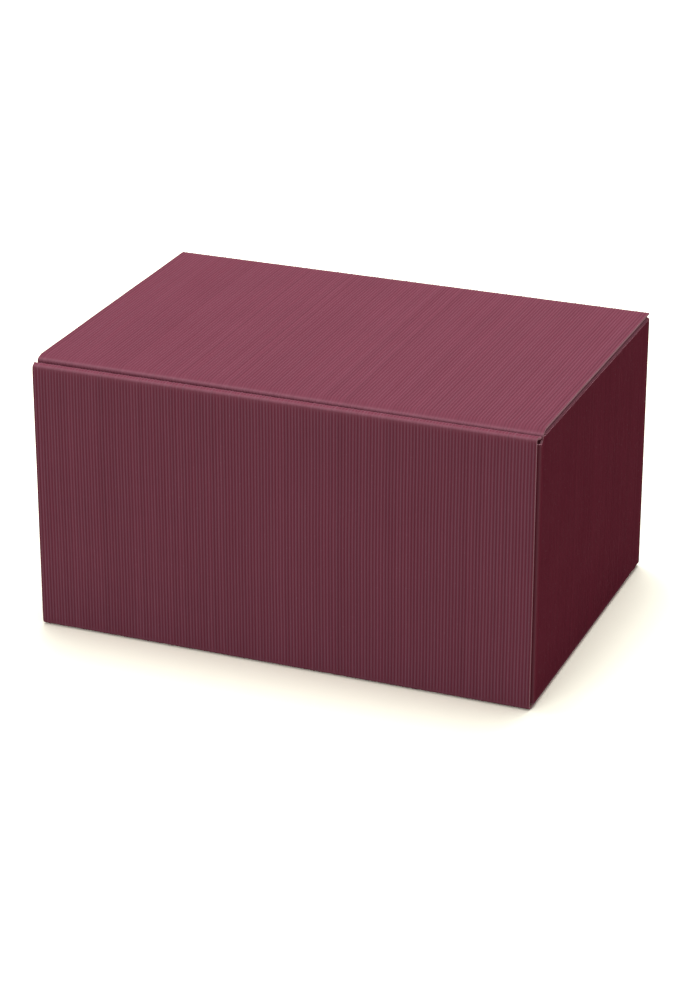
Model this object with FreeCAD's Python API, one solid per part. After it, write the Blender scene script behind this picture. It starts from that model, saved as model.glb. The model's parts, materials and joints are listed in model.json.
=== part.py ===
import FreeCAD, Part
import math
import os

# A bottle shipping box for six lying bottles, folded from one sheet of open-flute board.
# The sheet runs from the rolled front wall under the base and up the back to the lid.
# The side walls hang from the back wall, and their front flaps end inside the rolled front.
# Two folded dividers and a pad between them hold the bottles apart.
# X runs along the front, the front faces -Y, and Z is up. The origin is under the middle.
# Everything is in millimetres.

# Outer size of the closed box
box_width = 355.0
box_depth = 246.0
box_height = 193.0

# Open-flute board: a closed sheet with a bare fluted layer outside
board_thickness = 2.0       # to the crests of the flutes
flute_height = 0.8
flute_pitch = 2.2
flute_crest = 0.75
flute_margin = 1.2          # least smooth strip between a panel's cut edge and its first flute
crush = 0.1                 # how far a crease lies below the valleys of the flutes
fold_inner_radius = 0.6

# Front wall, rolled over the corner flaps
front_edge_inset = 2.0      # the front panel's cut edge inside the side wall's face
roll_gap = 1.2              # between the layers of the rolled wall
inner_front_gap = 0.5       # from the rolled wall's inner panel to the side walls and the base
corner_flap_length = 58.0
corner_notch = 3.5          # cut off the corner flaps' tops, which leaves a hole under the roll's end

# Flaps of the side walls
dust_flap_length = 96.0
dust_flap_front_gap = 6.0   # clear of the lid's tuck flap
dust_flap_back_gap = 2.5
dust_flap_corner = 8.0
bottom_flap_length = 62.0
bottom_flap_end_gap = 4.0

# Lid
lid_side_inset = 1.0        # the lid's cut edge inside the side wall's face
lid_rest_gap = 0.3          # between the lid and the flaps that it lies on
lid_front_gap = 1.2         # between the rolled wall and the lid's front fold
tuck_length = 44.0
tuck_clearance = 0.5        # between the swinging tuck flap and the rolled wall
tuck_side_gap = 2.0         # between the tuck flap and the side walls
tuck_corner = 12.0
hinge_gap = 0.4             # opened in the back fold, where the lid turns

# Dividers and the pad between them, in plain thin board
bottles_in_layer = 3
divider_board = 1.5
divider_inner_radius = 0.4
rib_hollow = 1.0            # between the two walls of a rib
divider_end_gap = 1.5       # to the side walls
divider_side_gap = 1.0      # to the front and back walls
pad_board = 1.5
layer_gap = 0.2             # between things that lie on each other
divider_top_gap = 0.5       # below the dust flaps

# Sizes that follow from the ones above
half_width = box_width / 2
front_face = -box_depth / 2
back_face = box_depth / 2
crease_sheet = board_thickness - flute_height - crush
crease_depth = flute_height + crush                 # from the flute crests in to a crease
crease_radius = crease_sheet + fold_inner_radius
fold_reach = crease_depth + crease_radius           # from a folded corner to the flat board
wall_top = box_height - board_thickness - lid_rest_gap
wall_flat_top = wall_top - fold_reach
panel_low = fold_reach                              # lower end of the front and back panels
side_corner_low = board_thickness - crease_depth    # the side walls stand on the base
side_low = side_corner_low + fold_reach
flap_face = front_face + board_thickness + roll_gap
inner_face = flap_face + 2 * board_thickness + roll_gap
back_inside = back_face - board_thickness
side_inside = half_width - board_thickness
strip_half_width = half_width - front_edge_inset
lid_half_width = half_width - lid_side_inset
lid_front = inner_face + lid_front_gap
hinge_inset = crease_depth + crease_radius * (1 - math.sqrt(0.5))
hinge_y = back_face - hinge_inset                   # middle of the rounded back fold
hinge_z = box_height - hinge_inset
dust_underside = wall_top - board_thickness
floor_level = board_thickness + crease_sheet        # top of the glued bottom flaps
divider_height = (dust_underside - divider_top_gap - floor_level - pad_board - 3 * layer_gap) / 2


def placed(axis, position, across, up):
    """A point of a section drawn at right angles to the axis."""
    if axis == "x":
        return FreeCAD.Vector(position, across, up)
    if axis == "y":
        return FreeCAD.Vector(across, position, up)
    return FreeCAD.Vector(across, up, position)


def heading(start, end):
    length = math.hypot(end[0] - start[0], end[1] - start[1])
    return (end[0] - start[0]) / length, (end[1] - start[1]) / length


def rounded_face(corners, depth, thickness, inner_radius):
    """One face of a folded sheet, as lines and three-point arcs.

    The corner line runs along the sheet's right-hand face, and depth is measured to its left.
    """
    ways = [heading(a, b) for a, b in zip(corners, corners[1:])]
    spots = [(corners[0][0] - ways[0][1] * depth, corners[0][1] + ways[0][0] * depth)]
    for corner, before, after in zip(corners[1:], ways, ways[1:]):
        cross = before[0] * after[1] - before[1] * after[0]
        turn = math.atan2(cross, before[0] * after[0] + before[1] * after[1])
        radius = inner_radius + thickness - depth if turn > 0 else -inner_radius - depth
        reach = (depth + radius) * math.tan(turn / 2)
        centre = (
            corner[0] - before[0] * reach - before[1] * (depth + radius),
            corner[1] - before[1] * reach + before[0] * (depth + radius),
        )
        right = math.atan2(-before[0], before[1])
        for share in (0, 0.5, 1):
            angle = right + turn * share
            spots.append((centre[0] + radius * math.cos(angle), centre[1] + radius * math.sin(angle)))
    spots.append((corners[-1][0] - ways[-1][1] * depth, corners[-1][1] + ways[-1][0] * depth))
    pieces = [spots[0:2]]
    for index in range(1, len(spots) - 1, 3):
        pieces += [spots[index:index + 3], spots[index + 2:index + 4]]
    return pieces


def folded_sheet(axis, start, end, corners, depths, inner_radius):
    """A folded sheet between two depths left of its corner line, drawn out along an axis."""
    right = rounded_face(corners, depths[0], depths[1], inner_radius)
    left = rounded_face(corners, depths[1], depths[1], inner_radius)
    back = [piece[::-1] for piece in left[::-1]]
    outline = right + [[right[-1][-1], back[0][0]]] + back + [[back[-1][-1], right[0][0]]]
    edges = []
    for piece in outline:
        points = [placed(axis, start, *point) for point in piece]
        curve = Part.LineSegment(*points) if len(points) == 2 else Part.Arc(*points)
        edges.append(curve.toShape())
    return Part.Face(Part.Wire(edges)).extrude(placed(axis, end - start, 0, 0))


def creased_board(axis, start, end, corners):
    """Box board with its flutes crushed smooth. The corner line runs along their crests."""
    return folded_sheet(
        axis, start, end, corners, (crease_depth, board_thickness), fold_inner_radius
    )


def fluted_panel(axis, start, end, first, last):
    """A flat panel whose flutes run along the axis, on the right of the way from first to last.

    The number of flutes is odd, so that a crest runs along the middle.
    """
    way = heading(first, last)
    width = math.hypot(last[0] - first[0], last[1] - first[1])
    count = 2 * int((width / flute_pitch - 2 * flute_margin / flute_pitch - 1) / 2) + 1
    margin = (width - count * flute_pitch) / 2
    slope = (flute_pitch - flute_crest) / 2
    section = [(0, board_thickness), (0, flute_height)]
    for number in range(count):
        foot = margin + number * flute_pitch
        section += [(foot, flute_height), (foot + slope, 0), (foot + slope + flute_crest, 0)]
    section += [(width - margin, flute_height), (width, flute_height), (width, board_thickness)]
    points = [
        placed(
            axis,
            start,
            first[0] + way[0] * run - way[1] * depth,
            first[1] + way[1] * run + way[0] * depth,
        )
        for run, depth in section
    ]
    outline = Part.makePolygon(points + points[:1])
    return Part.Face(outline).extrude(placed(axis, end - start, 0, 0))


def rounded_block(low, high, axis, radius):
    """A block whose edges along the axis are rounded. It trims a flap's free corners."""
    block = Part.makeBox(high.x - low.x, high.y - low.y, high.z - low.z, low)
    along = placed(axis, 1, 0, 0)
    edges = [e for e in block.Edges if abs(e.tangentAt(e.FirstParameter).dot(along)) > 0.5]
    return block.makeFillet(radius, edges)


def mirrored(shape):
    return shape.mirror(FreeCAD.Vector(0, 0, 0), FreeCAD.Vector(1, 0, 0))


def joined(pieces):
    return pieces[0].fuse(pieces[1:]).removeSplitter()


def hinge_wedge(side):
    """The slanted gap through the back fold with all that is above it (side 1) or below it (side -1)."""
    far = 2 * board_thickness
    step = side * hinge_gap / 2 / math.sqrt(2)
    corners = [
        (hinge_y - far + step, hinge_z - far - step),
        (hinge_y + far + step, hinge_z + far - step),
        (hinge_y - far * side, hinge_z + far * side),
    ]
    points = [placed("x", -half_width, *corner) for corner in corners]
    return Part.Face(Part.makePolygon(points + points[:1])).extrude(placed("x", box_width, 0, 0))


def make_rolled_strip():
    """The folds of the sheet's middle strip: rolled front wall, base and the start of the back wall."""
    outer = creased_board("x", -strip_half_width, strip_half_width, [
        (inner_face, wall_flat_top - fold_reach),
        (inner_face, wall_top),
        (front_face, wall_top),
        (front_face, 0),
        (back_face, 0),
        (back_face, wall_flat_top),
    ])
    hidden_half_width = side_inside - inner_front_gap
    inner = creased_board("x", -hidden_half_width, hidden_half_width, [
        (inner_face, floor_level + inner_front_gap),
        (inner_face, wall_flat_top),
    ])
    trimmed_end = Part.makeBox(
        2 * front_edge_inset, fold_reach, 2 * fold_reach,
        FreeCAD.Vector(hidden_half_width, inner_face - fold_reach, wall_flat_top - fold_reach),
    )
    return [outer.cut([trimmed_end, mirrored(trimmed_end)]), inner]


def make_wall_ring():
    """Back wall, side walls and corner flaps, folded round the box at its upright edges."""
    corner_flap_end = half_width - corner_flap_length
    ring = creased_board("z", side_low, wall_flat_top, [
        (corner_flap_end, flap_face),
        (half_width, flap_face),
        (half_width, back_face),
        (-half_width, back_face),
        (-half_width, flap_face),
        (-corner_flap_end, flap_face),
    ])
    notch = Part.makeBox(
        corner_flap_length, fold_reach, corner_notch,
        FreeCAD.Vector(corner_flap_end, flap_face, wall_flat_top - corner_notch),
    )
    return ring.cut([notch, mirrored(notch)])


def make_side_flaps():
    """The dust flap over the bottles and the bottom flap on the base, on the right-hand side."""
    dust_front = inner_face + dust_flap_front_gap
    dust_back = back_inside - dust_flap_back_gap
    dust_end = half_width - dust_flap_length
    dust = creased_board("y", dust_front, dust_back, [
        (half_width, wall_flat_top - fold_reach),
        (half_width, wall_top),
        (dust_end, wall_top),
    ])
    outline = rounded_block(
        FreeCAD.Vector(dust_end, dust_front, 0),
        FreeCAD.Vector(half_width + 2 * dust_flap_corner, dust_back, box_height),
        "z", dust_flap_corner,
    )
    bottom = creased_board("y", inner_face + bottom_flap_end_gap, back_inside - bottom_flap_end_gap, [
        (half_width - bottom_flap_length, side_corner_low),
        (half_width, side_corner_low),
        (half_width, side_low + fold_reach),
    ])
    return [dust.common(outline), bottom]


def make_box_body():
    """Base, walls and all their flaps. One folded sheet, but for the lid that turns on it."""
    back_top = creased_board("x", -lid_half_width, lid_half_width, [
        (back_face, wall_flat_top),
        (back_face, box_height),
        (back_face - 2 * fold_reach, box_height),
    ])
    strip_end = strip_half_width
    back_end = half_width - fold_reach
    side_front = flap_face + fold_reach
    side_back = back_face - fold_reach
    panels = [
        fluted_panel("z", panel_low, wall_flat_top, (-strip_end, front_face), (strip_end, front_face)),
        fluted_panel("y", front_face + fold_reach, back_face - fold_reach, (-strip_end, 0), (strip_end, 0)),
        fluted_panel("z", panel_low, box_height - fold_reach,
                     (back_end, back_face), (-back_end, back_face)),
    ]
    side = fluted_panel("z", side_low, wall_flat_top, (half_width, side_front), (half_width, side_back))
    right_hand = [side, *make_side_flaps()]
    left_hand = [mirrored(piece) for piece in right_hand]
    return joined([
        *make_rolled_strip(), make_wall_ring(), back_top.cut(hinge_wedge(1)),
        *panels, *right_hand, *left_hand,
    ])


def tuck_tilt():
    """How far the tuck flap leans in, so that its edge swings clear of the rolled front wall."""
    run = hinge_y - lid_front
    drop = hinge_z - box_height
    reach = hinge_y - inner_face - tuck_clearance
    span = math.hypot(run, drop)
    lean = (span ** 2 + tuck_length ** 2 - reach ** 2) / (2 * tuck_length * span)
    return math.atan2(drop, run) + math.asin(lean)


def make_lid():
    """The lid with its tuck flap, from the cut in the back fold."""
    tilt = tuck_tilt()
    flat_start = lid_front + fold_reach * math.tan(math.pi / 4 + tilt / 2)
    tip = (lid_front + tuck_length * math.sin(tilt), box_height - tuck_length * math.cos(tilt))
    top = creased_board("x", -lid_half_width, lid_half_width, [
        (back_face, wall_flat_top),
        (back_face, box_height),
        (flat_start, box_height),
    ])
    tuck_half_width = side_inside - tuck_side_gap
    tuck = creased_board("x", -tuck_half_width, tuck_half_width, [
        (flat_start + board_thickness, box_height),
        (lid_front, box_height),
        tip,
    ])
    outline = rounded_block(
        FreeCAD.Vector(-tuck_half_width, lid_front, tip[1]),
        FreeCAD.Vector(tuck_half_width, flat_start + tuck_length, box_height + 2 * tuck_corner),
        "y", tuck_corner,
    )
    panel = fluted_panel("y", flat_start, back_face - fold_reach,
                         (lid_half_width, box_height), (-lid_half_width, box_height))
    return joined([panel, top.cut(hinge_wedge(-1)), tuck.common(outline)])


def make_divider(underside):
    """A folded sheet with a double-walled rib between each two bottles of a layer."""
    front = inner_face + divider_side_gap
    back = back_inside - divider_side_gap
    rib = 2 * divider_board + rib_hollow
    channel = (back - front - (bottles_in_layer - 1) * rib) / bottles_in_layer
    rib_ceiling = underside + divider_height - divider_board
    corners = [(front, underside)]
    for number in range(1, bottles_in_layer):
        rib_front = front + number * channel + (number - 1) * rib + divider_board
        rib_back = rib_front + rib_hollow
        corners += [
            (rib_front, underside),
            (rib_front, rib_ceiling),
            (rib_back, rib_ceiling),
            (rib_back, underside),
        ]
    corners.append((back, underside))
    half_length = side_inside - divider_end_gap
    return folded_sheet(
        "x", -half_length, half_length, corners, (0, divider_board), divider_inner_radius
    )


def make_layer_pad(underside):
    half_length = side_inside - divider_end_gap
    front = inner_face + divider_side_gap
    back = back_inside - divider_side_gap
    return Part.makeBox(
        2 * half_length, back - front, pad_board, FreeCAD.Vector(-half_length, front, underside)
    )


lower_level = floor_level + layer_gap
pad_level = lower_level + divider_height + layer_gap
upper_level = pad_level + pad_board + layer_gap

nodes = {
    "box_body": make_box_body(),
    "lid": make_lid(),
    "lower_divider": make_divider(lower_level),
    "layer_pad": make_layer_pad(pad_level),
    "upper_divider": make_divider(upper_level),
}

os.makedirs("parts", exist_ok=True)
for name, shape in nodes.items():
    shape.exportStep(f"parts/{name}.step")
    print(name, "solids", len(shape.Solids), "faces", len(shape.Faces), "valid", shape.isValid(),
          "volume", round(shape.Volume / 1000, 1), "cm3")
print("lid turns at y", round(hinge_y, 3), "z", round(hinge_z, 3),
      "tuck flap leans", round(math.degrees(tuck_tilt()), 2), "degrees")
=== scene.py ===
import json
import math

import bpy
import numpy as np
from mathutils import Matrix, Vector


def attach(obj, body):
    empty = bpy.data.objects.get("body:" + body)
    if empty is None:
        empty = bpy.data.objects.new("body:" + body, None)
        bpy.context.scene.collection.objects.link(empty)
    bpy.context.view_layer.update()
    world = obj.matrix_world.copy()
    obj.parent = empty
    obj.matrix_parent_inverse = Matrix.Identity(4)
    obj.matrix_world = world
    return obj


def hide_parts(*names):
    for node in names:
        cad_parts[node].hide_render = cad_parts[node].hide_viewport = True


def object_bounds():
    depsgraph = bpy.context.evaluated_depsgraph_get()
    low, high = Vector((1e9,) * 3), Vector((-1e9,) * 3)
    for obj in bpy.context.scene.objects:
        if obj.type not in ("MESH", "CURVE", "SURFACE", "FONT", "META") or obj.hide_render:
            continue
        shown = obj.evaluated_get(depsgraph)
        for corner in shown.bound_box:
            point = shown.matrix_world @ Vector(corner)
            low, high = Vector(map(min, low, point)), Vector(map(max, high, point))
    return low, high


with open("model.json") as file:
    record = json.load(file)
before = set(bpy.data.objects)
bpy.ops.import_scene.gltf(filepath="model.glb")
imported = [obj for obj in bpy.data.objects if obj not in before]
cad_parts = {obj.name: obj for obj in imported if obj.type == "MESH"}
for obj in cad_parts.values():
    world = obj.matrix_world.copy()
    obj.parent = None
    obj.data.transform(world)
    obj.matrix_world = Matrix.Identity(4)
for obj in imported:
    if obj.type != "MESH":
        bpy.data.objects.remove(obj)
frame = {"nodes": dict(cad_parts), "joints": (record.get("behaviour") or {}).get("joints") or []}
cadLow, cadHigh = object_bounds()
print("frame loaded")

mm = 0.001
halfWidth, frontFace, backFace, topFace = cadHigh.x, cadLow.y, cadHigh.y, cadHigh.z

board = {
    "thickness": 2.0 * mm,      # to the crests of the flutes
    "fluteHeight": 0.8 * mm,
    "pitch": 2.2 * mm,
    "bend": 1.8 * mm,           # radius of a fold, on the valleys of the flutes
    "pointsPerFlute": 8,
    "archPower": 0.8,           # below 1 makes round crests and narrow valleys
    "laneUneven": 0.07,         # how much lower than the highest a flute may be, about half of it
    "wander": 0.09 * mm,        # how far a flute strays sideways
    # Two slow waves of that straying: turns along and across the sheet, share of the seed, and height.
    "strayWaves": ((41, 23, 1, 1.0), (97, -61, 2, 0.6)),
    "foldCrush": 0.72,          # how much of the flutes' height a fold takes away
    "foldCrushReach": 2.6 * mm,
    "foldCrushUneven": 0.12,
    "hingeCrush": 1.5 * mm,     # beside the gap that the lid turns at, where the flutes are flat
    "innerColumns": 24,         # outer columns to one inner column
}
closedSheet = board["thickness"] - board["fluteHeight"]
foldReach = board["fluteHeight"] + board["bend"]
outside, inside, cutEdge = 0, 1, 2      # the order of a sheet's materials


# Shapes

def creasedPath(corners, counts, bows=None, firstShare=None, lastShare=None, arcSteps=5):
    # Straight runs between corners, with points packed towards their ends, and an arc at each corner.
    # The corners are on the flute crests; the points are on the valleys, one flute height inside.
    corners = np.array(corners, float)
    ways = np.diff(corners, axis=0)
    lengths = np.linalg.norm(ways, axis=1)
    ways /= lengths[:, None]
    rights = np.stack([ways[:, 1], -ways[:, 0]], 1)
    turns = np.arctan2(
        ways[:-1, 0] * ways[1:, 1] - ways[:-1, 1] * ways[1:, 0], (ways[:-1] * ways[1:]).sum(1)
    )
    reach = np.r_[0, foldReach * np.tan(turns / 2), 0]
    bows = [0] * len(lengths) if bows is None else bows
    spots, normals, bulges = [], [], []
    for number, length in enumerate(lengths):
        skipped = (number == 0 and firstShare is not None) or (
            number == len(lengths) - 1 and lastShare is not None
        )
        if not skipped:
            share = 0.5 - 0.5 * np.cos(np.linspace(0, math.pi, counts[number]))
            run = reach[number] + share * (length - reach[number] - reach[number + 1])
            line = corners[number] + run[:, None] * ways[number]
            spots.append(line - rights[number] * board["fluteHeight"])
            normals.append(np.repeat(rights[number][None], len(share), 0))
            bulges.append(bows[number] * np.sin(math.pi * share) ** 2)
        if number == len(lengths) - 1:
            break
        low, high = 0.0, 1.0
        if number == 0 and firstShare is not None:
            low = firstShare
        if number == len(lengths) - 2 and lastShare is not None:
            high = lastShare
        share = np.linspace(low, high, arcSteps + 2)
        share = share[0 if number == 0 and firstShare is not None else 1:]
        share = share[:None if number == len(lengths) - 2 and lastShare is not None else -1]
        centre = corners[number + 1] - ways[number] * reach[number + 1] - rights[number] * foldReach
        angle = math.atan2(rights[number][1], rights[number][0]) + turns[number] * share
        out = np.stack([np.cos(angle), np.sin(angle)], 1)
        spots.append(centre + board["bend"] * out)
        normals.append(out)
        bulges.append(np.zeros(len(share)))
    spot = np.concatenate(spots)
    run = np.r_[0, np.cumsum(np.linalg.norm(np.diff(spot, axis=0), axis=1))]
    folds = [run[np.linalg.norm(spot - corner, axis=1).argmin()] for corner in corners[1:-1]] or [-1.0]
    apart = np.abs(run[:, None] - np.array(folds)[None]).min(1)
    toHinge = np.full(len(run), 1.0)
    if firstShare is not None:
        toHinge = run
    if lastShare is not None:
        toHinge = run[-1] - run
    return {
        "spot": spot, "normal": np.concatenate(normals), "bulge": np.concatenate(bulges),
        "run": run, "toFold": apart, "toHinge": toHinge,
    }


laneRandom = np.random.default_rng(11).standard_normal(1024).clip(-2, 2)


def evenColumns(low, high):
    # Points across the flutes, a whole number of them to each flute.
    count = int(round((high - low) / board["pitch"] * board["pointsPerFlute"]))
    return np.linspace(low, high, count + 1)


def fluteRelief(run, across, toFold, seed):
    # Height above the valleys: an arch per flute, from a cosine raised to a power, times the flute's own
    # share, times what the folds leave of it. A crest runs at 0. The phase strays by two slow sine waves.
    stray = board["wander"] * sum(
        height * np.sin(run * along + across * over + turn * seed)
        for along, over, turn, height in board["strayWaves"]
    )
    phase = (across + stray) / board["pitch"] + 0.5
    arch = (0.5 - 0.5 * np.cos(2 * math.pi * phase)).clip(0, 1) ** board["archPower"]
    lane = np.floor(phase).astype(int)
    own = 1 + board["laneUneven"] * (laneRandom[(lane + 31 * seed) % 1024] - 2)
    crush = board["foldCrush"] + board["foldCrushUneven"] * laneRandom[(lane * 7 + 5 * seed) % 1024]
    left = 1 - crush.clip(0, 0.97) * np.exp(-((toFold / board["foldCrushReach"]) ** 2))
    return board["fluteHeight"] * arch * own * left, arch * left, lane + 0.5


def place(axis, section, across):
    # A section's two coordinates and the distance along the axis, as points.
    first, second = section[..., 0], section[..., 1]
    order = {"x": (across, first, second), "y": (first, across, second), "z": (first, second, across)}
    return np.stack(np.broadcast_arrays(*order[axis]), -1)


def easedStep(share):
    # 0 to 1 with level ends: 3s^2 - 2s^3
    share = share.clip(0, 1)
    return share * share * (3 - 2 * share)


def squeezed(across, width, fullWidth, soft=22 * mm):
    # Narrows the outermost strip of columns, so that each row ends at its own half width.
    start = fullWidth - soft
    beyond = (np.abs(across) - start).clip(0, None)
    return np.sign(across) * (np.abs(across) - beyond * (1 - (width - start) / soft))


def sheetShell(
    path, axis, across, seed, alongPath=True, halfWidths=None, middle=0.0, crest=0.0, carry=None,
    rubAndSheen=1.0, contrast=1.0, wearReach=1.5 * mm, foldedEnds=False,
):
    # A closed sheet: the outer face is the path pushed out by the flutes, the inner face is the path
    # pushed in by the closed board, and rims join them. The inner face has fewer columns. The rim at the
    # hinge has the inner face's paper, because the sheet isn't cut there.
    run = path["run"][:, None]
    columns = np.repeat(across[None], len(path["run"]), 0)
    if halfWidths is not None:
        reach = np.abs(across - middle).max()
        columns = squeezed(across[None] - middle, halfWidths[:, None], reach) + middle
    toFold = path["toFold"][:, None]
    if foldedEnds:
        toFold = np.minimum(toFold, np.minimum(across - across[0], across[-1] - across)[None])
    if alongPath:
        relief, rise, lane = fluteRelief(run, columns - crest, toFold, seed)
    else:
        relief, rise, lane = fluteRelief(columns, run - crest, toFold, seed)
    relief = relief * easedStep(path["toHinge"][:, None] / board["hingeCrush"])
    edge = (across - across[0]) / (across[-1] - across[0])
    bulge = path["bulge"][:, None] * np.sin(math.pi * edge[None]) ** 0.7
    out = path["normal"][:, None]
    outer = place(axis, path["spot"][:, None] + out * (relief + bulge)[..., None], columns)
    inner = place(axis, path["spot"][:, None] + out * (bulge - closedSheet)[..., None], columns)
    if carry is not None:
        outer, inner = carry(outer), carry(inner)
    picked = np.unique(np.r_[np.arange(0, len(across), board["innerColumns"]), len(across) - 1])
    inner = inner[:, picked]
    rows, wide, few = len(run), len(across), len(picked)
    o = np.arange(rows * wide).reshape(rows, wide)
    i = rows * wide + np.arange(rows * few).reshape(rows, few)
    away = np.abs(np.repeat(run, wide, 1))

    faces, uvs, slots = [], [], []

    def addQuads(a, b, c, d, uvOf, slot):
        quads = np.stack([a, b, c, d], -1).reshape(-1, 4)
        faces.append(quads)
        uvs.append(uvOf(quads))
        slots.append(np.full(len(quads), slot))

    flat = np.concatenate([
        np.stack([columns, away], -1).reshape(-1, 2),
        np.stack([columns[:, picked], away[:, picked]], -1).reshape(-1, 2),
    ])
    depth = np.r_[np.zeros(rows * wide), np.full(rows * few, closedSheet)]

    def onFace(quads):
        return flat[quads]

    def onSide(quads):
        return np.stack([flat[quads][..., 1], depth[quads]], -1)

    addQuads(o[:-1, :-1], o[1:, :-1], o[1:, 1:], o[:-1, 1:], onFace, outside)
    addQuads(i[:-1, :-1], i[:-1, 1:], i[1:, 1:], i[1:, :-1], onFace, inside)
    addQuads(o[1:, 0], o[:-1, 0], i[:-1, 0], i[1:, 0], onSide, cutEdge)
    addQuads(o[:-1, -1], o[1:, -1], i[1:, -1], i[:-1, -1], onSide, cutEdge)
    for row, step in ((0, 1), (rows - 1, -1)):
        for left in range(few - 1):
            comb = o[row, picked[left]:picked[left + 1] + 1][::step]
            ends = i[row, left:left + 2][::-step]
            rim = np.r_[comb, ends]
            faces.append(rim[None])
            uvs.append(np.stack([flat[rim][:, 0], depth[rim]], -1)[None])
            slots.append(np.array([inside if path["toHinge"][row] == 0 else cutEdge]))
    points = np.concatenate([outer.reshape(-1, 3), inner.reshape(-1, 3)])

    def fill(values):
        return np.r_[np.broadcast_to(values, (rows, wide)).ravel(), np.zeros(rows * few)]

    crease = np.exp(-((path["toFold"] / wearReach) ** 2))[:, None]
    return {
        "points": points, "faces": faces, "uvs": uvs, "slots": slots,
        "marks": {
            # each panel's amount of pale rubbing and painted sheen
            "crest": fill(rise * contrast), "lane": fill(lane), "crease": fill(crease), "rubAndSheen": fill(rubAndSheen),
        },
    }


def mirrored(shell):
    # The same sheet on the left-hand side.
    return {**shell, "points": shell["points"] * [-1, 1, 1]}


def signedVolume(points, faces):
    # Sums the boxes between the origin and each triangle of each face's fan.
    total = 0.0
    for group in faces:
        a = points[group[:, 0]]
        for k in range(1, group.shape[1] - 1):
            total += (a * np.cross(points[group[:, k]], points[group[:, k + 1]])).sum()
    return total / 6


def makePiece(name, shells, materials, body):
    # Joins closed sheets into one mesh, each turned so that its faces point outwards.
    points, loops, starts, uvs, slots, marks = [], [], [], [], [], {}
    offset, loopCount = 0, 0
    for shell in shells:
        inward = signedVolume(shell["points"], shell["faces"]) < 0
        for group, uv, slotGroup in zip(shell["faces"], shell["uvs"], shell["slots"]):
            if inward:
                group, uv = group[:, ::-1], uv[:, ::-1]
            loops.append((group + offset).ravel())
            starts.append(loopCount + np.arange(len(group)) * group.shape[1])
            loopCount += group.size
            uvs.append(uv.reshape(-1, 2))
            slots.append(slotGroup)
        points.append(shell["points"])
        for key, values in shell["marks"].items():
            marks.setdefault(key, []).append(values)
        offset += len(shell["points"])
    mesh = bpy.data.meshes.new(name)
    mesh.vertices.add(offset)
    mesh.vertices.foreach_set("co", np.concatenate(points).astype(np.float32).ravel())
    mesh.loops.add(loopCount)
    mesh.loops.foreach_set("vertex_index", np.concatenate(loops).astype(np.int32))
    mesh.polygons.add(sum(len(s) for s in starts))
    mesh.polygons.foreach_set("loop_start", np.concatenate(starts).astype(np.int32))
    mesh.polygons.foreach_set("material_index", np.concatenate(slots).astype(np.int32))
    mesh.update(calc_edges=True)
    mesh.uv_layers.new(name="sheet").data.foreach_set("uv", np.concatenate(uvs).astype(np.float32).ravel())
    for key, values in marks.items():
        mark = mesh.attributes.new(key, "FLOAT", "POINT")
        mark.data.foreach_set("value", np.concatenate(values).astype(np.float32))
    mesh.shade_smooth()
    mesh.set_sharp_from_angle(angle=math.radians(62))
    for material in materials:
        mesh.materials.append(material)
    piece = bpy.data.objects.new(name, mesh)
    bpy.context.scene.collection.objects.link(piece)
    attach(piece, body)
    print(name, "faces", len(mesh.polygons), "triangles", sum(p.loop_total - 2 for p in mesh.polygons))
    return piece


# Shader maths

class Wire:
    # An output of a material's node, which can be used in sums.
    def __init__(self, graph, socket):
        self.graph, self.socket = graph, socket

    def math(self, operation, *others):
        return self.graph.node("ShaderNodeMath", {"operation": operation}, dict(enumerate((self, *others))))

    def __add__(self, other):
        return self.math("ADD", other)

    __radd__ = __add__

    def __mul__(self, other):
        return self.math("MULTIPLY", other)

    __rmul__ = __mul__

    def __sub__(self, other):
        return self.math("SUBTRACT", other)

    def __rsub__(self, other):
        return self.graph.node("ShaderNodeMath", {"operation": "SUBTRACT"}, {0: other, 1: self})

    def clamped(self):
        return self.graph.node("ShaderNodeClamp", {}, {0: self})

    def between(self, low, high):
        # 0 below low, 1 above high, smooth in between
        settings = {"interpolation_type": "SMOOTHSTEP"}
        return self.graph.node("ShaderNodeMapRange", settings, {0: self, 1: low, 2: high})


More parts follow.
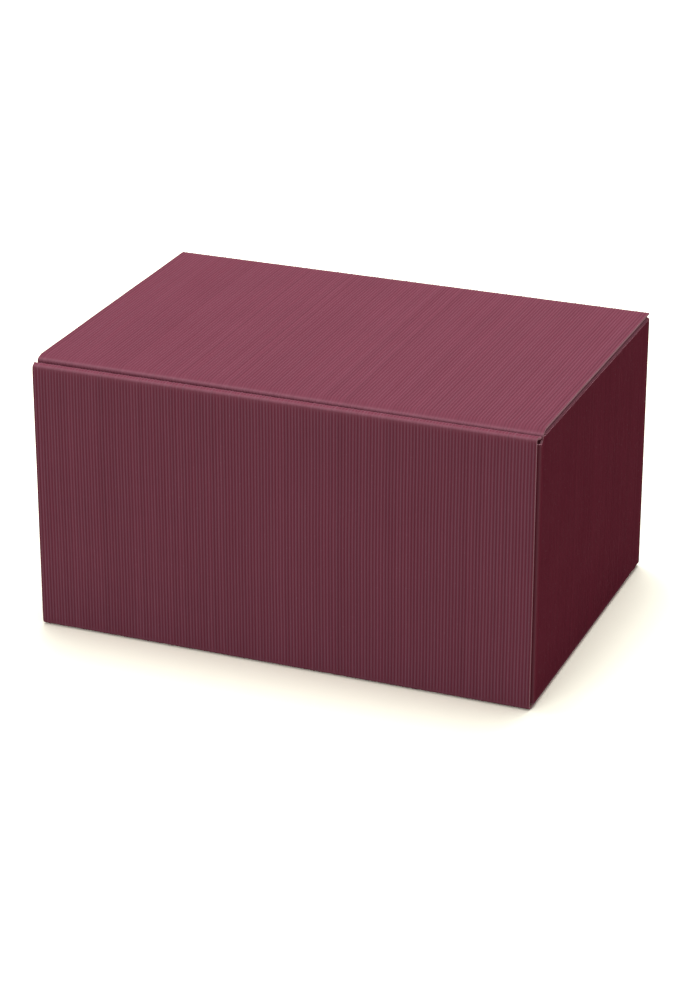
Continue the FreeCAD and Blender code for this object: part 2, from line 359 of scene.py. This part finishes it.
class Graph:
    def __init__(self, material):
        self.tree = material.node_tree
        self.tree.nodes.clear()

    def node(self, kind, settings, inputs, output=0):
        made = self.tree.nodes.new(kind)
        for key, value in settings.items():
            setattr(made, key, value)
        for key, value in inputs.items():
            socket = made.inputs[key]
            if isinstance(value, Wire):
                self.tree.links.new(value.socket, socket)
            else:
                socket.default_value = value
        return Wire(self, made.outputs[output]) if made.outputs else None

    def mark(self, name):
        return self.node("ShaderNodeAttribute", {"attribute_name": name}, {}, 2)

    def uv(self):
        return self.node("ShaderNodeUVMap", {"uv_map": "sheet"}, {})

    def place(self):
        return self.node("ShaderNodeTexCoord", {}, {}, 3)

    def parts(self, vector):
        return [self.node("ShaderNodeSeparateXYZ", {}, {0: vector}, k) for k in range(3)]

    def joined(self, x, y, z=0.0):
        return self.node("ShaderNodeCombineXYZ", {}, {0: x, 1: y, 2: z})

    def noise(self, vector, scale, detail=3.0, roughness=0.5):
        inputs = {"Vector": vector, "Scale": scale, "Detail": detail, "Roughness": roughness}
        return self.node("ShaderNodeTexNoise", {}, inputs)

    def mix(self, low, high, factor):
        settings = {"data_type": "RGBA", "clamp_factor": True}
        return self.node("ShaderNodeMix", settings, {0: factor, 6: low, 7: high}, 2)

    def brighten(self, colour, amount):
        # the colour times one number
        grey = self.joined(amount, amount, amount)
        return self.node("ShaderNodeVectorMath", {"operation": "MULTIPLY"}, {0: colour, 1: grey})

    def finish(self, colour, roughness, bump=None, bumpStrength=0.3, bumpDistance=0.1 * mm, **constants):
        inputs = {"Base Color": colour, "Roughness": roughness}
        inputs.update({key.replace("_", " "): value for key, value in constants.items()})
        if bump is not None:
            inputs["Normal"] = self.node(
                "ShaderNodeBump", {}, {"Strength": bumpStrength, "Distance": bumpDistance, "Height": bump}
            )
        self.node("ShaderNodeOutputMaterial", {}, {0: self.node("ShaderNodeBsdfPrincipled", {}, inputs)})

    def rays(self):
        # 1 for camera rays, and 1 for glossy and transmitted ones
        seen, mirrored, through = (self.node("ShaderNodeLightPath", {}, {}, k) for k in (0, 3, 6))
        return seen, (mirrored + through).clamped()


def newMaterial(name):
    material = bpy.data.materials.new(name)
    material.use_nodes = True
    return material, Graph(material)


def colour(red, green, blue):
    # sRGB levels from 0 to 255 to a linear colour
    levels = np.array([red, green, blue]) / 255
    linear = np.where(levels <= 0.04045, levels / 12.92, ((levels + 0.055) / 1.055) ** 2.4)
    return (*linear.tolist(), 1.0)


dyedPaper = {
    "dye": colour(126, 38, 60),
    # the pale tone of rubbed crests, also used as a painted sheen
    "paleRubAndSheen": colour(150, 102, 119),
    "worn": colour(176, 134, 147),
    "valleyRubAndSheen": 0.24,
    "crestRubAndSheen": 0.42,            # more than the valleys
    "laneTone": 0.05,
    "cloudTone": 0.05,
    "fibreTone": 0.10,
    "roughness": 0.78,
}


def makeDyedPaper():
    # Burgundy fluting paper: each flute has its own tone, crests are rubbed paler, a painted sheen of the
    # same pale tone lies more on the front and the lid than on the sides, and the pulp is cloudy.
    s = dyedPaper
    material, g = newMaterial("dyedFluting")
    crest, lane, crease = g.mark("crest"), g.mark("lane"), g.mark("crease")
    across, run, _ = g.parts(g.uv())
    own = g.node("ShaderNodeTexWhiteNoise", {"noise_dimensions": "1D"}, {"W": lane})
    streak = g.noise(g.joined(lane * 0.73, run * 9.0), 1.0, 4.0)
    cloud = g.noise(g.place(), 26.0, 3.0)
    fibre = g.noise(g.place(), 1500.0, 3.0, 0.6)
    speck = g.noise(g.place(), 620.0, 2.0).between(0.62, 0.78)
    # the pale tone is partly real rubbing of the crests and partly painted sheen; each panel's own amount
    # leaves the sides and the corner folds darker, as painted shade
    paleRubAndSheen = g.mark("rubAndSheen") * (s["valleyRubAndSheen"] + crest.between(0.2, 1.0) * s["crestRubAndSheen"])
    paleRubAndSheen = paleRubAndSheen * (0.8 + streak * 0.4)
    tone = g.mix(s["dye"], s["paleRubAndSheen"], paleRubAndSheen.clamped())
    wear = (crease * 0.30 + speck * crest * 0.25) * (0.6 + streak * 0.6)
    tone = g.mix(tone, s["worn"], wear.clamped())
    level = 1.0 + (own - 0.5) * (2 * s["laneTone"]) + (cloud - 0.5) * (2 * s["cloudTone"])
    level = level + (fibre - 0.5) * (2 * s["fibreTone"])
    g.finish(g.brighten(tone, level), s["roughness"] + (fibre - 0.5) * 0.16, fibre, 0.35, 0.08 * mm,
             Specular_IOR_Level=0.12)
    return material


# the darker tone is painted shade in the hollows of the inner flutes
rawPaper = {"core": colour(210, 150, 164), "gap": colour(160, 92, 108), "layers": 0.6 * mm}


def makeRawEdge():
    # A cut edge: pale liners with painted shade for the hollow of the inner flutes between them.
    s = rawPaper
    material, g = newMaterial("rawEdge")
    length, depth, _ = g.parts(g.uv())
    wave = g.node("ShaderNodeMath", {"operation": "SINE"}, {0: length * (2 * math.pi / (3.1 * mm))})
    hollowShade = (depth * (1 / s["layers"]) - 1.0 - wave * 0.25).math("ABSOLUTE").between(0.55, 0.25)
    fibre = g.noise(g.place(), 1300.0, 3.0, 0.6)
    tone = g.mix(s["core"], s["gap"], hollowShade * 0.55)
    g.finish(g.brighten(tone, 0.86 + fibre * 0.28), 0.86, fibre, 0.4, 0.1 * mm, Specular_IOR_Level=0.25)
    return material


plainPaper = {"light": colour(176, 143, 110), "dark": colour(150, 117, 86), "bars": 0.05}


def makePlainPaper(name, barPitch, tint=1.0):
    # Brown kraft: cloudy pulp, short fibres, and faint bars where the hidden flutes are glued.
    s = plainPaper
    material, g = newMaterial(name)
    x, y, z = g.parts(g.place())
    cloud = g.noise(g.place(), 34.0, 4.0)
    fibre = g.noise(g.joined(x * 0.45, y, z), 1500.0, 4.0, 0.65)
    speck = g.noise(g.place(), 480.0, 2.0).between(0.66, 0.74)
    bars = g.node("ShaderNodeMath", {"operation": "SINE"}, {0: x * (2 * math.pi / barPitch)})
    tone = g.mix(s["dark"], s["light"], (0.15 + cloud * 0.5 + fibre * 0.25).clamped())
    tone = g.mix(tone, s["dark"], speck * 0.5)
    level = tint * (1.0 + bars * s["bars"] + (fibre - 0.5) * 0.16)
    g.finish(g.brighten(tone, level), 0.82, fibre + bars * 0.3, 0.3, 0.1 * mm, Specular_IOR_Level=0.3)
    return material


dyed, raw = makeDyedPaper(), makeRawEdge()
liner = makePlainPaper("kraftLiner", board["pitch"], 0.92)
dividerKraft = makePlainPaper("dividerKraft", 3.2 * mm)
sheetMaterials = [dyed, liner, raw]
print("materials ready")


# The folded strip: rolled front wall, base and back wall

strip = {
    "sideInset": 2.0 * mm,          # the front panel's cut edge inside the side wall's face
    "rollSplay": 1.4 * mm,          # the roll's rear edge reaches further out than its front one
    "layerGap": 1.2 * mm,           # between the layers of the rolled wall
    "lidRestGap": 0.3 * mm,
    "innerPanelLow": 3.6 * mm,
    "hiddenSideGap": 5.5 * mm,      # from the side face to the roll's inner panel
    "frontBow": 0.5 * mm,
    "backBow": 0.5 * mm,
    "hingeGap": 0.4 * mm,
    "strandRadius": 0.17 * mm,      # a little less than half the hinge's gap
    "strandSides": 12,
}
wallTop = topFace - board["thickness"] - strip["lidRestGap"]
flapFace = frontFace + board["thickness"] + strip["layerGap"]
innerFace = flapFace + 2 * board["thickness"] + strip["layerGap"]
wallFlatTop = wallTop - foldReach
backEnd = halfWidth - foldReach
gapShare = strip["hingeGap"] / 2 / (board["bend"] * math.pi / 2)


def hingeStrand():
    # A thin round strand of paper on the hinge's axis, so that no light shows through the turning fold.
    _, y, z = frame["joints"][0]["pos_m"]
    sides = np.arange(strip["strandSides"])
    angle = 2 * math.pi * sides / len(sides)
    radius = strip["strandRadius"]
    ring = np.stack([0 * angle, y + radius * np.cos(angle), z + radius * np.sin(angle)], 1)
    points = np.concatenate([ring - [backEnd, 0, 0], ring + [backEnd, 0, 0]])
    after = np.roll(sides, -1)
    faces = [
        np.stack([sides, after, after + len(sides), sides + len(sides)], 1),
        np.stack([sides[::-1], sides + len(sides)]),
    ]
    return {
        "points": points, "faces": faces, "uvs": [points[group][..., :2] for group in faces],
        "slots": [np.full(len(group), outside) for group in faces],
        "marks": {key: np.full(len(points), 0.5) for key in ("crest", "lane", "crease", "rubAndSheen")},
    }


def makeStrip():
    corners = [
        (innerFace, strip["innerPanelLow"]), (innerFace, wallTop), (frontFace, wallTop),
        (frontFace, 0), (backFace, 0), (backFace, topFace), (backFace - 2 * foldReach, topFace),
    ]
    path = creasedPath(corners, [5, 4, 16, 5, 14, 0], [0, 0, strip["frontBow"], 0, strip["backBow"], 0],
                       lastShare=0.5 - gapShare)
    wide = halfWidth - strip["sideInset"]
    y, z = path["spot"].T
    hidden = halfWidth - strip["hiddenSideGap"]
    inFront = y < 0
    onTop = z > wallFlatTop + 0.1 * mm
    inPanel = (y > innerFace - 2 * foldReach) & inFront & ~onTop & (z > board["thickness"])
    inBack = y > backFace - foldReach
    # The roll's end is splayed towards the rear, and narrows again within its rear fold.
    behind = easedStep((y - frontFace - foldReach) / (innerFace - frontFace - 2 * foldReach))
    splayed = wide + strip["rollSplay"] * behind
    splayed -= (splayed - hidden) * behind * (1 - easedStep((z - wallFlatTop) / board["bend"]))
    widths = np.where(inPanel, hidden, np.where(inBack, backEnd, wide))
    widths = np.where(onTop & inFront, splayed, widths)
    shell = sheetShell(path, "x", evenColumns(-wide, wide), 1, halfWidths=widths)
    piece = makePiece("foldedStrip", [shell, hingeStrand()], sheetMaterials, "box")
    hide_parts("box_body")


makeStrip()


# Side walls with their dust flaps and bottom flaps

side = {
    "dustLength": 96 * mm,
    "dustFrontGap": 6.0 * mm,
    "dustBackGap": 2.5 * mm,
    "dustCorner": 8.0 * mm,
    "bottomLength": 62 * mm,
    "cornerFlap": 58 * mm,
    "cornerNotch": 3.5 * mm,        # the dark hole under the end of the roll
    "frontCut": 4.0 * mm,
    "bow": 0.4 * mm,
    "rubAndSheen": 0.1,                     # painted shade: the sides get much less of the pale rubbed tone and painted sheen than the front and the lid, so they read darker
    "flapSetback": 1.1 * mm,        # the corner flap springs away from the front panel
    "shadedFoldRub": 0.05,                # painted shade: the corner folds get the least pale tone, so they read dark like the shade in the slot
    "foldWear": 0.8 * mm,           # how far the corner folds' pale wear reaches
}
sideFront, sideBack = flapFace + foldReach, backFace - foldReach
sideCornerLow = board["thickness"] - board["fluteHeight"]
sideLow = sideCornerLow + foldReach


def roundedHalfWidths(run, half, radius):
    # Half the flap's width along its length, drawn in on a quarter circle at its free end.
    into = (radius - (run.max() - run)).clip(0, radius)
    return half - radius + np.sqrt(radius ** 2 - into ** 2)


def cutBack(points):
    # Draws the wall's front edge back above the corner flap's notch, so that the hole is as wide as both.
    y, z = points[..., 1], points[..., 2]
    high = easedStep((z - wallFlatTop + 1.4 * side["cornerNotch"]) / (0.5 * side["cornerNotch"]))
    near = easedStep(1 - (y - sideFront) / (4 * side["frontCut"]))
    return points + np.stack([0 * y, side["frontCut"] * high * near, 0 * y], -1)


def makeWall(name, turned):
    wall = creasedPath(
        [(halfWidth - 2 * foldReach, sideCornerLow), (halfWidth, sideCornerLow), (halfWidth, wallFlatTop)],
        [2, 20], [0, side["bow"]],
    )
    crest = (sideFront + sideBack) / 2
    columns = evenColumns(sideFront + side["flapSetback"], sideBack)
    wallShell = sheetShell(
        wall, "y", columns, 2, crest=crest, carry=cutBack, rubAndSheen=side["rubAndSheen"], foldedEnds=True,
    )
    dustLow = innerFace + side["dustFrontGap"]
    dustHigh = backFace - board["thickness"] - side["dustBackGap"]
    dust = creasedPath([(halfWidth, wallFlatTop), (halfWidth, wallTop),
                        (halfWidth - side["dustLength"], wallTop)], [2, 12])
    middle = (dustLow + dustHigh) / 2
    widths = roundedHalfWidths(dust["run"], (dustHigh - dustLow) / 2, side["dustCorner"])
    dustShell = sheetShell(dust, "y", evenColumns(dustLow, dustHigh), 2, halfWidths=widths, middle=middle,
                           crest=crest)
    bottom = creasedPath([(halfWidth - side["bottomLength"], sideCornerLow),
                          (halfWidth - 2 * foldReach, sideCornerLow)], [4])
    bottomShell = sheetShell(bottom, "y", evenColumns(innerFace + 4 * mm, backFace - 6.5 * mm), 4)
    shells = [wallShell, dustShell, bottomShell]
    if turned:
        shells = [mirrored(s) for s in shells]
    piece = makePiece(name, shells, sheetMaterials, "box")
    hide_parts("box_body")


makeWall("rightWall", False)
makeWall("leftWall", True)


def makeCornerFolds():
    rise = np.linspace(sideLow, wallFlatTop, 24)
    notched = rise - side["cornerNotch"] * (rise > wallFlatTop - mm)
    flap = flapFace + side["flapSetback"]
    front = creasedPath([(halfWidth - side["cornerFlap"], flap), (halfWidth, flap),
                         (halfWidth, sideFront + side["flapSetback"])], [30, 2])
    back = creasedPath([(halfWidth, sideBack), (halfWidth, backFace), (backEnd, backFace)], [2, 2])
    shells = [
        sheetShell(
            fold, "z", heights, seed, alongPath=False, rubAndSheen=side["shadedFoldRub"], wearReach=side["foldWear"],
        )
        for fold, heights, seed in ((front, notched, 5), (back, rise, 6))
    ]
    shells += [mirrored(s) for s in shells]
    piece = makePiece("cornerFolds", shells, sheetMaterials, "box")
    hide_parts("box_body")


makeCornerFolds()


# Lid

lid = {
    "sideInset": 1.0 * mm,
    "frontGap": 1.2 * mm,        # between the roll and the tuck flap
    "tuckLength": 44 * mm,
    "tuckTilt": math.radians(4.12),
    "tuckSideGap": 4.5 * mm,
    "tuckCorner": 12 * mm,
    "bow": 0.35 * mm,
    "margin": 2.8 * mm,          # behind the front fold, bent down towards the roll
    "pressedRight": 2.1 * mm,
    "pressedLeft": 0.95 * mm,    # the front left corner springs up a little
    "forward": 0.7 * mm,         # the fold's lean against the roll at the right
    "forwardDepth": 10 * mm,     # below the lid's top, where that lean has ended
    "rubAndSheen": 1.45,                 # pale rubbed tone and painted sheen, spread more evenly than on the front
    "contrast": 0.45,
}


def pressedDown(points):
    # Bends the lid's front margin down, more at the right, and leans its fold against the roll.
    x, y, z = points[..., 0], points[..., 1], points[..., 2]
    rightward = easedStep((x + halfWidth) / (2 * halfWidth))
    pressed = lid["pressedLeft"] + (lid["pressedRight"] - lid["pressedLeft"]) * rightward
    front = innerFace + lid["frontGap"]
    nearFold = easedStep((front + foldReach + lid["margin"] - y) / lid["margin"]) * (y < 0)
    nearTop = easedStep(1 - (topFace - z) / lid["forwardDepth"])
    ahead = lid["forward"] * (0.35 + 0.65 * rightward) * nearTop * nearFold
    return points + np.stack([0 * x, -ahead, -pressed * nearFold], -1)


def makeLid():
    front = innerFace + lid["frontGap"]
    tip = (front + lid["tuckLength"] * math.sin(lid["tuckTilt"]),
           topFace - lid["tuckLength"] * math.cos(lid["tuckTilt"]))
    path = creasedPath([(backFace, topFace - 4 * foldReach), (backFace, topFace), (front, topFace), tip],
                       [0, 26, 10], [0, lid["bow"], 0], firstShare=0.5 + gapShare)
    wide = halfWidth - lid["sideInset"]
    hanging = path["spot"][:, 1] < front + foldReach * 0.9
    flap = roundedHalfWidths(path["run"], halfWidth - lid["tuckSideGap"], lid["tuckCorner"])
    shell = sheetShell(path, "x", evenColumns(-wide, wide), 7,
                       halfWidths=np.where(hanging, flap, wide), carry=pressedDown,
                       rubAndSheen=lid["rubAndSheen"], contrast=lid["contrast"])
    piece = makePiece("lidPanel", [shell], sheetMaterials, "lid")
    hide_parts("lid")


makeLid()

for node in ("lower_divider", "layer_pad", "upper_divider"):
    for slot in frame["nodes"][node].material_slots:
        slot.material = dividerKraft
print("box ready")


# Studio

studio = {
    "skyLevel": 0.30,
    "floorTone": 0.45,           # for light that the floor throws back at the box
    "mirroredTone": 0.9,         # for glossy and transmitted rays
    "seenTone": 1.92,            # for the camera alone, so that the lit floor reads white
    "farTone": 5.2,              # the same where the lamps' light has fallen off
    "near": 0.35,                # metres from the box where the tone begins to rise
    "far": 2.2,
    "floorTint": (1.0, 1.0, 0.86),
    "lamps": {                              # watts, place, size
        "overhead": (33.0, (-0.08, 0.40, 2.2), 1.4),
        "fill": (12.6, (-0.6, -2.1, 1.1), 1.2),
    },
    "floorSize": 30.0,
}


def makeFloor():
    half = studio["floorSize"] / 2
    mesh = bpy.data.meshes.new("floor")
    corners = [(-half, -half, 0), (half, -half, 0), (half, half, 0), (-half, half, 0)]
    mesh.from_pydata(corners, [], [(0, 1, 2, 3)])
    floor = bpy.data.objects.new("floor", mesh)
    bpy.context.scene.collection.objects.link(floor)
    material, g = newMaterial("floorPaper")
    seen, reflected = g.rays()
    away = g.node("ShaderNodeVectorMath", {"operation": "LENGTH"}, {0: g.place()}, 1)
    far = away.between(studio["near"], studio["far"])
    shown = studio["seenTone"] + far * (studio["farTone"] - studio["seenTone"])
    level = studio["floorTone"] + seen * (shown - studio["floorTone"])
    level = level + reflected * (studio["mirroredTone"] - studio["floorTone"])
    shader = g.node("ShaderNodeBsdfDiffuse", {}, {"Color": g.brighten(studio["floorTint"], level)})
    g.node("ShaderNodeOutputMaterial", {}, {0: shader})
    mesh.materials.append(material)


def makeLights():
    world = bpy.data.worlds.new("sky")
    world.use_nodes = True
    g = Graph(world)
    seen, reflected = g.rays()
    strength = studio["skyLevel"] + (seen + reflected).clamped() * (1 - studio["skyLevel"])
    sky = g.node("ShaderNodeBackground", {}, {"Color": (1, 1, 1, 1), "Strength": strength})
    g.node("ShaderNodeOutputWorld", {}, {0: sky})
    bpy.context.scene.world = world
    for name, (watts, spot, size) in studio["lamps"].items():
        lamp = bpy.data.lights.new(name, "AREA")
        lamp.energy, lamp.size = watts, size
        light = bpy.data.objects.new(name, lamp)
        light.location = spot
        light.rotation_mode = "QUATERNION"
        light.rotation_quaternion = (Vector((0, 0, 0.1)) - light.location).to_track_quat("-Z", "Y")
        bpy.context.scene.collection.objects.link(light)


camera = {
    "place": (0.7030, -1.7706, 0.8968),
    "yaw": math.radians(21.798),
    "pitch": math.radians(23.420),
    "focalPixels": 3000,
    "pictureHeight": 1000,
    "sensor": 36.0,
}


def makeCamera():
    # Looks along the yaw, turned down by the pitch; the sensor's long side is the picture's height.
    data = bpy.data.cameras.new("camera")
    data.sensor_width = camera["sensor"]
    data.lens = camera["focalPixels"] / camera["pictureHeight"] * camera["sensor"]
    turn, down = camera["yaw"], camera["pitch"]
    right = Vector((math.cos(turn), math.sin(turn), 0))
    ahead = Vector((-math.sin(turn) * math.cos(down), math.cos(turn) * math.cos(down), -math.sin(down)))
    up = right.cross(ahead)
    turned = Matrix((right, up, -ahead)).transposed().to_4x4()
    eye = bpy.data.objects.new("camera", data)
    eye.matrix_world = Matrix.Translation(camera["place"]) @ turned
    bpy.context.scene.collection.objects.link(eye)
    bpy.context.scene.camera = eye


makeFloor()
makeLights()
makeCamera()
bpy.context.scene.view_settings.view_transform = "Standard"

print("studio ready")
